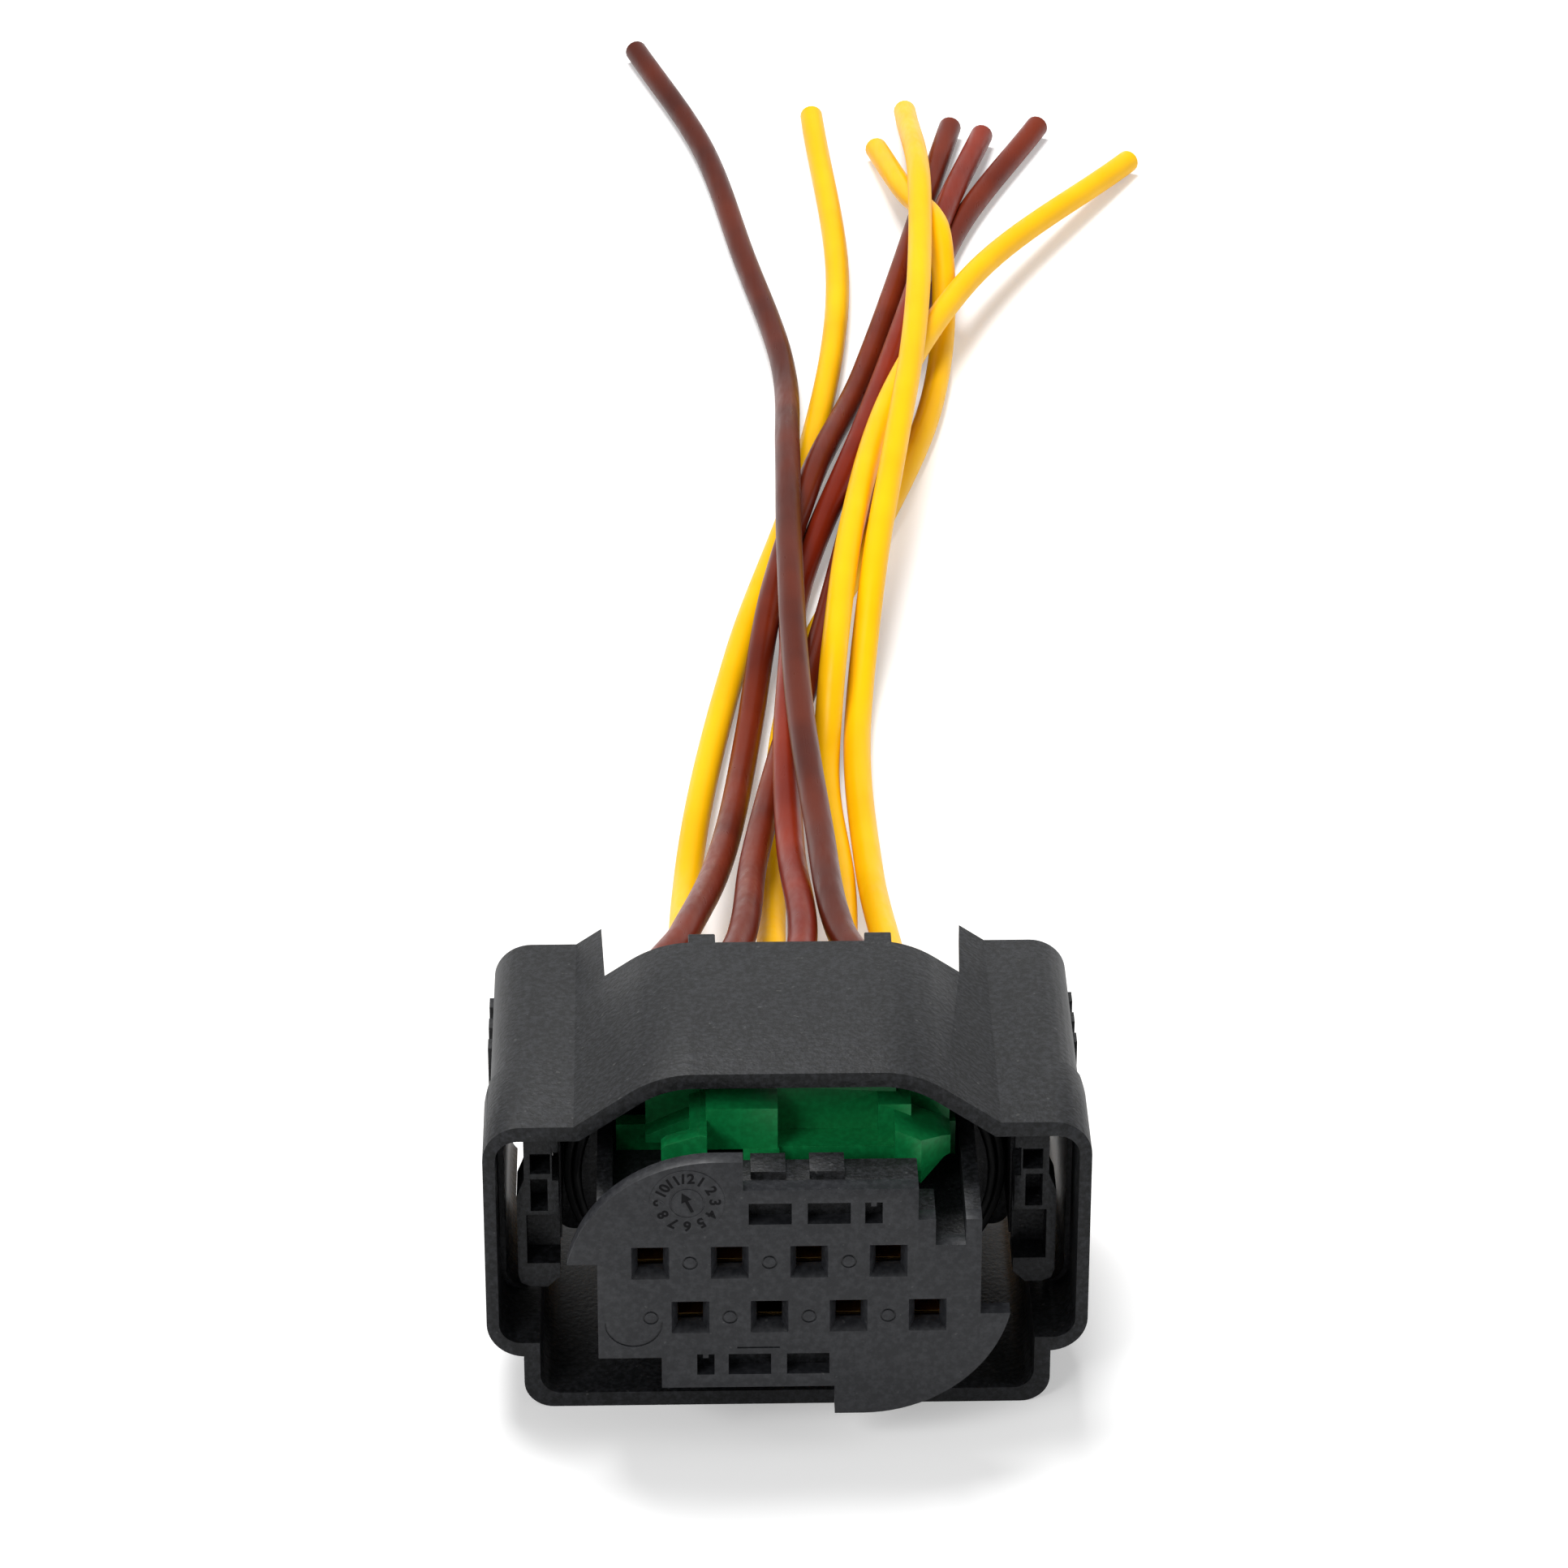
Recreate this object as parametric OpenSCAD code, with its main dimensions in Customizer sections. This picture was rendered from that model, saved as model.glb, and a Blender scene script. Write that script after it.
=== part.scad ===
// Sealed automotive plug: eight female terminals in an oval face, a secondary lock,
// a sliding lock sleeve around the side latches, and eight free wires.
// X runs across the plug, Y along the mating axis with the face toward -Y, Z is up.
// The origin is under the middle of the plug, on the plane that the sleeve rests on.

/* [Mating face] */
// Width of the oval mating face
oval_w = 28.4; // [28:0.1:29]
// Height of the oval mating face
oval_h = 19; // [18.8:0.1:19.4]
// Height of the mating axis above the rest plane
axis_z = 12.6; // [12.5:0.1:12.8]
// Distance from the origin to the mating face
face_depth = 16; // [15.6:0.1:16.4]
// Thickness of the front cap
cap_t = 1.2; // [1:0.1:1.6]

/* [Terminal cavities] */
// Distance between neighbouring cavities of one row
pitch = 5; // [4.8:0.1:5.1]
// Distance between the two rows
row_gap = 4.1; // [4:0.1:4.2]
// Clear width of a square cavity
cavity_w = 2.5; // [2.4:0.1:2.6]
// Width of the square hole in the front cap
port_w = 1.6; // [1.4:0.1:1.8]
// Width of the lead-in around each hole in the front cap
lead_in_w = 2.4; // [2.2:0.1:2.6]
// Clearance between a terminal box and its cavity, each side
terminal_gap = 0.15; // [0.1:0.05:0.2]

/* [Core] */
// Width of the core behind the cap
core_w = 24.2; // [24:0.1:24.4]
// Height of the core's middle part
core_h = 14.8; // [14.4:0.1:15]
// Length of the sealing neck
neck_len = 5; // [4.6:0.1:5.4]
// Width of the sealing neck
neck_w = 26.4; // [26:0.1:26.8]

/* [Rear hood] */
// Width of the hood around the wire seal
hood_w = 25.6; // [25.2:0.1:26]
// Height of the hood around the wire seal
hood_h = 12.2; // [12:0.1:12.6]
// Wall of the hood
hood_wall = 1.3; // [1.1:0.1:1.5]
// Depth of the pocket for the wire seal
seal_pocket = 5.8; // [5.4:0.1:6]
// Depth of the rear cover along the mating axis
cover_len = 4; // [3.6:0.1:4.4]

/* [Lock sleeve] */
// Width of the sleeve behind its front band
sleeve_w = 38; // [37.8:0.1:38.4]
// Width of the flared front band
band_w = 38.7; // [38.5:0.1:39.4]
// Length of the flared front band
band_len = 6.4; // [5:0.1:8]
// Length of the sleeve
sleeve_len = 22.8; // [22:0.1:23.4]
// Distance from the mating face back to the sleeve's front edge
sleeve_setback = 5.6; // [5.2:0.1:6]
// Wall of the sleeve's floor, shoulders and arch
sleeve_wall = 1.05; // [0.9:0.05:1.1]
// Wall of the sleeve's sides
side_wall = 0.8; // [0.7:0.05:1]
// Height of the arch above the rest plane
arch_top = 25.1; // [25:0.1:25.6]
// Height of the flat shoulders beside the arch
shoulder_z = 21.3; // [21.1:0.1:21.5]
// Height of the narrower base
base_h = 3.9; // [3.6:0.1:4.1]
// Width of the narrower base
base_w = 34; // [33.4:0.1:34.6]
// Travel of the sleeve to the rear
sleeve_travel = 5; // [4:0.1:5]
// Running clearance between the sleeve and what it slides on
slide_gap = 0.15; // [0.1:0.05:0.25]

/* [Secondary lock] */
// Thickness of the comb between the rows
comb_t = 1.2; // [1:0.1:1.4]
// Travel of the lock from pre-set to closed
lock_travel = 1.2; // [1:0.1:1.2]
// Clearance around the comb in its slot
comb_gap = 0.2; // [0.1:0.05:0.2]

/* [Side latches] */
// Thickness of a latch arm
arm_t = 1.4; // [1.2:0.1:1.5]
// Height of a latch arm
arm_h = 11.1; // [10.4:0.1:11.2]
// Gap between a latch arm and the sleeve's side wall
arm_clear = 1.4; // [1.2:0.1:1.5]

/* [Wires] */
// Outer diameter of a wire
wire_d = 2.1; // [1.8:0.1:2.1]
// Sides of a wire's plain tube
wire_sides = 8; // [6:1:12]

/* [Hidden] */
$fn = 48;
eps = 0.01;
black = "#1c1d1f";
cap_grey = "#34353a";
rubber = "#0d0e10";
lock_green = "#0e8a45";
brass = "#b8955a";
brown = "#70402f";
yellow = "#f2c513";

// Stations along the mating axis
face_y = -face_depth;
core_y = face_y + cap_t;
neck_y0 = -neck_len / 2;
neck_y1 = neck_len / 2;
flange_t = 2.5;
hood_y0 = neck_y1 + flange_t;
cover_y1 = face_depth;
cover_y0 = cover_y1 - cover_len;
pocket_y0 = cover_y0 - seal_pocket;
comb_y0 = -5.2;
sleeve_y0 = face_y + sleeve_setback;
sleeve_y1 = sleeve_y0 + sleeve_len;
notch_y = 6;

// Cavity centres: four in the top row, then four in the bottom row
row_z = [axis_z + row_gap / 2, axis_z - row_gap / 2];
stagger = pitch / 4;
function cavity(i) =
    let (row = i < 4 ? 0 : 1, col = i % 4)
    [(col - 1.5) * pitch + (row == 0 ? -stagger : stagger), row_z[row]];
CAVITIES = [for (i = [0:7]) cavity(i)];

// Height of the neck, and the core's profile steps, measured from the mating axis
neck_h = neck_w - oval_w + oval_h;
step_x = core_w / 2 - 4;
step_z = 5.1;
channel_x0 = core_w / 2 - 2.9;
channel_x1 = core_w / 2 - 1;
channel_z = 3.2;
saddle_z = axis_z + 3.8;
saddle_y0 = -12.4;
saddle_y1 = -3.6;

// Bore through the neck and the hood: the carrier's tail sits in its front, the wire seal behind it
bore_w = hood_w - 2 * hood_wall;
bore_h = hood_h - 2 * hood_wall;
fit_gap = 0.05;

// Arch of the sleeve: a flat top, rounded over into straight slopes
arch_r = 7;
arch_flat = 5.9;
arch_tilt = 35;
side_r = 2.5;
base_r = 1.9;

// Rails and stop studs under the housing
rail_x = 8;
rail_w = 2.4;
stud_y = 3;
stud_len = 2;

// Side latches
arm_x1 = sleeve_w / 2 - side_wall - arm_clear;
arm_x0 = arm_x1 - arm_t;
arm_z0 = 7.7;
arm_z1 = arm_z0 + arm_h;
arm_y0 = -8;
arm_y1 = cover_y0 - 0.2;
nose_x0 = arm_x1 - 2.2;
nose_bulge = 0.5;
nose_len = 3;
web_z0 = 9.8;
web_z1 = 15.8;

// Side plates and guide ribs of the flange, and the snap arms of the rear cover
plate_x = arm_x0 - 0.4;
plate_h = 14.6;
rib_w = 0.5;
CLIP_X = [-5.2, 6.6];
clip_w = 1.8;
clip_t = 1.15;
clip_y0 = cover_y0 - 3.2;

// Secondary lock: its top, the lower edge of its right lip, and the front of its wings
lock_low = saddle_z + lock_travel + 0.1;
lock_top = arch_top - 3.2;
lip_z = lock_top - 3.75;
wing_y0 = saddle_y0 + 1;
left_x = -channel_x0 + 0.2;
right_x = channel_x1 - 0.6;
rib_x = left_x + 3.85;

// Terminals
box_w = cavity_w - 2 * terminal_gap;
box_wall = 0.25;
box_y0 = core_y + 0.6;
box_y1 = comb_y0 - 0.4;
strip_y1 = -3.2;
crimp_y1 = 0.8;
grip_y1 = 3.4;
crimp_d = 1.9;
grip_d = 2.6;
barrel_d = 2.9;

// Free wires leave the cover along Y and drape to the surface. Each route is a hand-laid list:
// the crimp, the rear of the cover, then the points that the wire passes on its way to its bare end.
wire_exit_y = face_depth + 1;
wire_paths = [
    [[-6.4, 29, 12.2], [-3.5, 52, 5.4], [-1.1, 78, 1.6], [1.1, 98, 3.1], [4.4, 117, 3.4],
     [10, 144, 1.2], [19.8, 198, 1.1]],
    [[-2.3, 29, 12.2], [-1.1, 50, 6.4], [1.3, 70, 3.9], [4.8, 90, 3.3], [7.5, 107, 3.6],
     [10.1, 126, 1.2], [14.2, 150, 1.1], [19.3, 174, 1.1], [28, 198, 1.1]],
    [[1.9, 29, 12.2], [1.5, 50, 7.4], [1.6, 68, 6.1], [2.4, 84, 5.3], [2.9, 99, 1.4],
     [9.4, 128, 3.3], [14.5, 154, 3.2], [17.8, 173, 2.6], [22.7, 196, 1.1]],
    [[4.5, 29, 12.5], [3.5, 50, 9.4], [2.7, 68, 8.3], [2.5, 100, 7], [2.8, 120, 5.4],
     [2.9, 144, 1.8], [-0.3, 170, 1.1], [-3.7, 194, 1.1], [-9.8, 217.5, 1.1]],
    [[-6.4, 30, 8.2], [-5.9, 56, 1.9], [-1.7, 92, 1.1], [3.9, 122, 1.1], [8.1, 160, 1.1],
     [6.8, 201, 1.1]],
    [[-0.4, 30, 8.2], [0.3, 54, 1.6], [3, 88, 1.1], [9, 110, 1.1], [15.6, 138, 1.1], [17, 150, 1.5],
     [17.4, 157, 3.5], [17.2, 165, 5.4], [14.8, 177, 3.7], [12.7, 193, 1.1]],
    [[4.6, 30, 8.2], [5.3, 52, 3], [4.7, 72, 1.5], [5.8, 86, 5.2], [7.8, 106, 5.8],
     [12.2, 132, 5.2], [19.6, 156, 4.4], [36, 189.5, 1.1]],
    [[8.3, 30, 8.4], [7.4, 54, 3], [7.3, 78, 1.4], [9.2, 98, 5.2], [11.7, 118, 6.9],
     [13.6, 134, 7.4], [15.7, 168, 7.3], [15.7, 202, 1.1]]
];

// An extrusion along Y of a profile drawn in X and Z
module along_y(y0, y1) {
    translate([0, y1, 0]) rotate([90, 0, 0]) linear_extrude(y1 - y0) children();
}

// A box between two corners
module block(x0, x1, y0, y1, z0, z1) {
    translate([x0, y0, z0]) cube([x1 - x0, y1 - y0, z1 - z0]);
}

module both_sides() {
    children();
    mirror([1, 0, 0]) children();
}

// A rounded rectangle about the origin
module rounded(w, h, r) {
    square([w - 2 * r, h], center = true);
    square([w, h - 2 * r], center = true);
    for (x = [-1, 1], y = [-1, 1])
        translate([x * (w / 2 - r), y * (h / 2 - r)]) circle(r);
}

// A flat-sided oval about the origin
module oval(w, h) {
    square([w - h, h], center = true);
    for (x = [-1, 1]) translate([x * (w - h) / 2, 0]) circle(h / 2, $fn = 96);
}

// A profile moved up to the mating axis
module on_axis() {
    translate([0, axis_z]) children();
}

// The core's section: a block with stepped corners, the same when turned half round
module core_section() {
    for (turn = [0, 180]) rotate(turn) polygon([
        [-core_w / 2, 0], [-core_w / 2, step_z], [-step_x, step_z], [-step_x, core_h / 2],
        [step_x, core_h / 2], [step_x, step_z], [channel_x0, step_z], [channel_x0, channel_z],
        [channel_x1, channel_z], [channel_x1, step_z], [core_w / 2, step_z], [core_w / 2, 0]
    ]);
}

// A square lead-in that narrows with depth, from two crossed wedges
module lead_in(x, z) {
    depth = 0.8;
    outer = lead_in_w / 2;
    inner = port_w / 2;
    wedge = [[-outer, -eps], [outer, -eps], [inner, depth], [-inner, depth]];
    translate([x, face_y, z]) intersection() {
        translate([0, 0, -outer]) linear_extrude(lead_in_w) polygon(wedge);
        translate([-outer, 0, 0]) rotate([90, 0, 90]) linear_extrude(lead_in_w)
            polygon([for (p = wedge) [p[1], p[0]]]);
    }
}

module lobe(x0, x1, z0, z1) {
    intersection() {
        oval(oval_w, oval_h);
        translate([x0, z0]) square([x1 - x0, z1 - z0]);
    }
}

module front_cap() {
    slots = [[-1.2, 2.7], [2.5, 2.7], [5.3, 1.1]];
    slot_z = 5.65;
    slot_h = 1.55;
    tooth = 0.35;
    lobe_x = 2.9;
    lobe_z = 2;
    color(cap_grey) {
        difference() {
            union() {
                along_y(face_y, core_y) on_axis() core_section();
                for (turn = [0, 180])
                    along_y(face_y, core_y) on_axis() rotate(turn) lobe(-oval_w, -lobe_x, lobe_z, oval_h);
                block(-channel_x1 - eps, -step_x, face_y, core_y, axis_z - step_z, axis_z);
            }
            for (c = CAVITIES) {
                lead_in(c[0], c[1]);
                block(c[0] - port_w / 2, c[0] + port_w / 2, face_y, core_y + eps,
                      c[1] - port_w / 2, c[1] + port_w / 2);
            }
            for (s = slots, side = [-1, 1])
                block(side * s[0] - s[1] / 2, side * s[0] + s[1] / 2, face_y - eps, core_y + eps,
                      axis_z + side * slot_z - slot_h / 2, axis_z + side * slot_z + slot_h / 2);
            mould_clock();
            face_marks();
        }
        for (side = [-1, 1])
            translate([side * slots[2][0], 0, axis_z + slot_z * side + slot_h / 2 - tooth])
                block(-tooth / 2, tooth / 2, face_y + 0.1, core_y, 0, tooth + eps);
    }
}

// The moulder's date clock: twelve ticks round a pointer
module mould_clock() {
    depth = 0.12;
    translate([-6.4, face_y + depth, axis_z + 6.6]) rotate([90, 0, 0]) linear_extrude(1) {
        for (i = [0:11]) rotate(i * 30) translate([1.45, -0.13]) square([0.65, 0.26]);
        translate([-0.12, -0.75]) square([0.24, 1.5]);
    }
}

// Shallow round marks between the cavities, and a curved and a straight witness line below them
module face_marks() {
    depth = 0.1;
    line = 0.12;
    for (i = [0:7])
        if (i != 3)
            translate([CAVITIES[i][0] + (i < 4 ? pitch / 2 : -pitch / 2), face_y + depth, CAVITIES[i][1]])
                rotate([90, 0, 0]) linear_extrude(1) difference() {
                    circle(0.5);
                    circle(0.5 - line);
                }
    translate([-9.85, face_y + depth, axis_z - 2.4]) rotate([90, 0, 0]) linear_extrude(1) difference() {
        circle(1.85);
        circle(1.85 - line);
        translate([-2, 0]) square([4, 2]);
    }
    block(-3.3, -0.6, face_y - eps, face_y + depth, axis_z - 4.45, axis_z - 4.45 + line);
}

// The housing: neck, flange and hood round one oval bore, with the rails, webs and ribs on them
module housing() {
    color(black) difference() {
        union() {
            along_y(neck_y0, neck_y1 + eps) on_axis() oval(neck_w, neck_h);
            along_y(neck_y1, hood_y0 + eps) on_axis() oval(oval_w, oval_h);
            along_y(neck_y1, hood_y0) on_axis() rounded(2 * plate_x, plate_h, 1.2);
            along_y(hood_y0, cover_y0) on_axis() oval(hood_w, hood_h);
            housing_rails();
            both_sides() latch_web();
            cover_nubs();
        }
        along_y(neck_y0 - eps, cover_y0 + eps) on_axis() oval(bore_w, bore_h);
    }
}

// The carrier: the stepped core with its eight cavities and a tail that fills the housing's bore.
// It and the latches are moulded in one with the housing.
module terminal_carrier() {
    color(black) difference() {
        union() {
            along_y(core_y, neck_y0) on_axis() core_section();
            along_y(neck_y0 - eps, pocket_y0) on_axis() oval(bore_w - 2 * fit_gap, bore_h - 2 * fit_gap);
            cap_tabs();
        }
        for (c = CAVITIES) {
            block(c[0] - cavity_w / 2, c[0] + cavity_w / 2, core_y - eps, comb_y0 + comb_t + comb_gap,
                  c[1] - cavity_w / 2, c[1] + cavity_w / 2);
            translate([c[0], pocket_y0 + eps, c[1]]) rotate([90, 0, 0])
                cylinder(h = pocket_y0 - comb_y0, d = barrel_d);
        }
        saddle_recess();
        comb_slot();
    }
}

// Room above the cavities for the secondary lock, deeper beside the last cavity
module saddle_recess() {
    deep_x0 = CAVITIES[3][0] + cavity_w / 2 + 0.2;
    block(-channel_x1, channel_x1, saddle_y0, saddle_y1, saddle_z, arch_top);
    block(deep_x0, channel_x1, saddle_y0, saddle_y1, axis_z + channel_z, saddle_z + eps);
}

// Slot across the core for the lock's comb, with room for its travel
module comb_slot() {
    block(-channel_x1, channel_x1, comb_y0 - comb_gap, comb_y0 + comb_t + comb_gap,
          comb_z0() - lock_travel - comb_gap, arch_top);
}

// Rails that the sleeve slides on: two under the body, two under the arch, and a stop stud under each side
module housing_rails() {
    both_sides() {
        block(rail_x, rail_x + rail_w, neck_y1, cover_y0, sleeve_wall + slide_gap, axis_z - bore_h / 2 + 0.1);
        block(rail_x, rail_x + rail_w, stud_y, stud_y + stud_len, 0.3, sleeve_wall + 1);
        block(3.2, 3.2 + rail_w, neck_y1, hood_y0, axis_z + oval_h / 2 - 1, arch_top - sleeve_wall - 0.55);
    }
}

// Tabs that hold the front cap
module cap_tabs() {
    for (x = [-1.3, 2.4])
        block(x - 1.1, x + 1.1, core_y + 0.2, saddle_y0, axis_z + core_h / 2 - 1, axis_z + core_h / 2 + 0.5);
}

// A web from the hood to the rear end of a latch arm, and a rib that guides the mating half
module latch_web() {
    block(bore_w / 2 + 0.1, arm_x0, arm_y1 - 3.6, arm_y1, web_z0, web_z1);
    block(plate_x - rib_w, plate_x, arm_y0 + nose_len + 0.2, neck_y1 + eps, 9.4, axis_z + plate_h / 2 - 1.2);
}

// Small wedges on the hood that the rear cover snaps over
module cover_nubs() {
    for (x = CLIP_X)
        block(x - 0.5, x + 0.5, clip_y0 + 0.8, clip_y0 + 1.8,
              axis_z + hood_h / 2 - 0.5, axis_z + hood_h / 2 + 0.6);
}

// A side latch: a beam from the rear web, with an open ladder-shaped nose and a window for the lug
module latch_arm() {
    nose_y1 = arm_y0 + nose_len;
    depth = 2.2;
    bulge_z = 14.6;
    side = 0.4;
    color(black) difference() {
        union() {
            block(arm_x0, arm_x1, nose_y1 - eps, arm_y1, arm_z0, arm_z1);
            along_y(arm_y0, nose_y1) polygon([
                [nose_x0 + 0.8, arm_z0], [arm_x1 + nose_bulge - 0.8, arm_z0],
                [arm_x1 + nose_bulge - 0.2, arm_z0 + 0.3], [arm_x1 + nose_bulge, arm_z0 + 0.9],
                [arm_x1 + nose_bulge, bulge_z], [arm_x1, bulge_z + 1.3], [arm_x1, arm_z1],
                [nose_x0, arm_z1], [nose_x0, arm_z0 + 0.8]
            ]);
        }
        translate([0, arm_y0, 0]) {
            block(nose_x0 + 0.5, arm_x1 - side, -eps, depth, 16.3, 17.8);
            block(nose_x0 + 0.7, arm_x1 - side, -eps, depth, 13.5, 15.9);
            block(nose_x0 - eps, arm_x1 - 0.1, -eps, depth, arm_z0 + 1.8, 13.2);
            block(nose_x0 - eps, nose_x0 + 0.4, -eps, nose_len + eps, 15.8, 17.9);
        }
        block(arm_x0 - 1, arm_x1 + 1, -4.2, -0.8, 9.4, 13.4);
    }
}

function comb_z0() = row_z[1] - cavity_w / 2 - 1.05;

// A comb across the cavities, with a window round each terminal
module lock_comb() {
    window = cavity_w + 0.4;
    difference() {
        block(-channel_x1 + comb_gap, channel_x1 - comb_gap, comb_y0, comb_y0 + comb_t,
              comb_z0(), lock_top - 3.7);
        for (c = CAVITIES)
            block(c[0] - window / 2, c[0] + window / 2, comb_y0 - eps, comb_y0 + comb_t + eps,
                  c[1] - window / 2, c[1] + window / 2);
    }
}

module secondary_lock() {
    low = lock_low;
    high = lock_top;
    color(lock_green) union() {
        lock_comb();
        along_y(comb_y0, comb_y0 + comb_t) polygon([
            [left_x, low], [left_x, high], [right_x - 1.3, high], [right_x, high - 1.3], [right_x, low]
        ]);
        along_y(comb_y0 - 1.4, comb_y0 + eps) polygon([
            [left_x, low], [rib_x + 0.15, low], [rib_x + 0.15, high - 2.4], [left_x + 2.7, high - 2.4],
            [left_x, high - 3.7]
        ]);
        block(rib_x, -0.6, wing_y0 + 2, comb_y0 + eps, high - 3, high);
        block(-2.8, -0.5, wing_y0 - 0.5, comb_y0 - 0.8, low, high - 3 + eps);
        block(-0.6 - eps, right_x - 3.5, wing_y0 + 2.4, comb_y0 - 1.6, low + 0.1, high - 3.1);
        block(-0.6 - eps, right_x - 3.5, comb_y0 - 1.6 - eps, comb_y0 + eps, low, high);
        block(right_x - 4.7, right_x - 2.6, comb_y0 - 3.2, comb_y0 + eps, low, high - 0.4);
        left_wing();
        right_wing();
    }
}

// The left wing: a low angled face in front of a rib
module left_wing() {
    outer_x = left_x + 1;
    peak = lock_top - 0.7;
    along_y(wing_y0, wing_y0 + 1.2) polygon([
        [outer_x, lock_low], [rib_x, lock_low], [rib_x, peak - 0.1], [rib_x - 0.35, peak],
        [outer_x + 0.3, peak - 0.7], [outer_x, peak - 1]
    ]);
    along_y(wing_y0 + eps, comb_y0 - 0.8) polygon([
        [rib_x - 1.05, lock_low], [rib_x + 0.05, lock_low], [rib_x + 0.05, peak - 0.1],
        [rib_x - 0.35, peak], [rib_x - 1.05, peak - 0.25]
    ]);
}

// The right wing: a front face whose outer half slants back, over a set-back lower lip
module right_wing() {
    inner = right_x - 3.7;
    fold = right_x - 2.05;
    outer = right_x - 0.1;
    front = wing_y0 + 0.4;
    back = front + 4;
    intersection() {
        along_y(front, back) polygon([
            [inner, lip_z], [outer, lip_z], [outer, lip_z + 1.35], [outer - 0.5, lip_z + 1.65],
            [fold, lip_z + 2.25], [inner, lip_z + 3]
        ]);
        linear_extrude(arch_top)
            polygon([[inner, front], [fold, front], [outer, front + 2.1], [outer, back], [inner, back]]);
    }
    intersection() {
        along_y(front, back) polygon([
            [inner, lip_z + eps], [inner, lock_low], [inner + 1.1, lock_low], [fold, lip_z - 1.05],
            [outer - 0.2, lip_z - 0.1], [outer - 0.2, lip_z + eps]
        ]);
        linear_extrude(arch_top) polygon([
            [inner, front + 0.2], [fold, front + 0.2], [outer - 0.2, front + 2.2],
            [outer - 0.2, back], [inner, back]
        ]);
    }
}

// A stepped terminal: contact box, floor strip, conductor crimp and insulation grip
module terminal(i) {
    c = CAVITIES[i - 1];
    slot = box_w - 2 * box_wall;
    strip_z0 = -box_w / 2;
    color(brass) translate([c[0], 0, c[1]]) {
        difference() {
            block(-box_w / 2, box_w / 2, box_y0, box_y1, -box_w / 2, box_w / 2);
            block(-slot / 2, slot / 2, box_y0 - eps, box_y1 - 1, -slot / 2, slot / 2);
        }
        block(-0.45, 0.45, box_y0 + 0.8, box_y1 - 1 + eps, 0.25, box_w / 2 - box_wall + eps);
        block(-0.7, 0.7, box_y1 - eps, crimp_y1, strip_z0, strip_z0 + 0.5);
        translate([0, crimp_y1, 0]) rotate([90, 0, 0]) cylinder(h = crimp_y1 - strip_y1, d = crimp_d);
        translate([0, grip_y1, 0]) rotate([90, 0, 0]) cylinder(h = grip_y1 - crimp_y1 + eps, d = grip_d);
    }
}

// The outer section of the sleeve, drawn in by a margin on every side
module sleeve_section(w, margin) {
    mid_z = (shoulder_z + base_h) / 2;
    r = arch_r - margin;
    arch_z = arch_top - arch_r;
    top_z = shoulder_z - margin;
    turn_x = arch_flat + r * sin(arch_tilt);
    turn_z = arch_z + r * cos(arch_tilt);
    foot_x = turn_x + (turn_z - top_z) / tan(arch_tilt);
    for (x = [-arch_flat, arch_flat]) translate([x, arch_z]) circle(r, $fn = 96);
    translate([-arch_flat, arch_z]) square([2 * arch_flat, r]);
    polygon([
        [-foot_x, base_h], [-foot_x, top_z], [-turn_x, turn_z],
        [turn_x, turn_z], [foot_x, top_z], [foot_x, base_h]
    ]);
    translate([0, mid_z]) rounded(w - 2 * margin, shoulder_z - base_h - 2 * margin, side_r - margin);
    translate([0, (mid_z + margin) / 2]) rounded(base_w - 2 * margin, mid_z - margin, base_r - margin / 2);
}

module lock_sleeve() {
    ramp = 1.2;
    half = band_w / 2;
    slim = sleeve_w / 2;
    band_y1 = sleeve_y0 + band_len;
    thin = 2 * (sleeve_wall - side_wall);
    color(black) difference() {
        union() {
            along_y(sleeve_y0, band_y1) sleeve_section(band_w, 0);
            intersection() {
                along_y(band_y1 - eps, band_y1 + ramp) sleeve_section(band_w, 0);
                linear_extrude(arch_top + 1) polygon([
                    [-half, band_y1 - 1], [half, band_y1 - 1], [half, band_y1],
                    [slim, band_y1 + ramp], [-slim, band_y1 + ramp], [-half, band_y1]
                ]);
            }
            along_y(band_y1, sleeve_y1) sleeve_section(sleeve_w, 0);
            both_sides() grip_ribs();
        }
        along_y(sleeve_y0 - eps, band_y1) sleeve_section(band_w + thin, sleeve_wall);
        along_y(band_y1 - eps, sleeve_y1 + eps) sleeve_section(sleeve_w + thin, sleeve_wall);
        arch_notch();
        both_sides() stop_slot();
        both_sides() rear_relief();
    }
}

// Three low ribs on each side wall near the rear
module grip_ribs() {
    for (i = [0:2])
        block(sleeve_w / 2 - 0.5, sleeve_w / 2 + 0.3, 4 + 2.6 * i, 5.2 + 2.6 * i, arm_z0 - 0.3, arm_z1 - 0.4);
}

// The arch ends short of the shoulders and leaves a pointed ear at each side
module arch_notch() {
    translate([0, 0, axis_z]) linear_extrude(arch_top) polygon([
        [-11.6, notch_y], [11.6, notch_y], [11.9, sleeve_y1 + 1], [-11.9, sleeve_y1 + 1]
    ]);
}

// The lower rear corners are cut away
module rear_relief() {
    block(base_w / 2 - side_wall - 0.4, sleeve_w, 6.5, sleeve_y1 + 1, -1, base_h + sleeve_wall + 0.4);
}

// A slot in the floor that limits the sleeve's travel on the housing's stud
module stop_slot() {
    block(rail_x - slide_gap, rail_x + rail_w + slide_gap, stud_y - sleeve_travel - slide_gap,
          stud_y + stud_len + slide_gap, -eps, sleeve_wall + eps);
}

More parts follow.
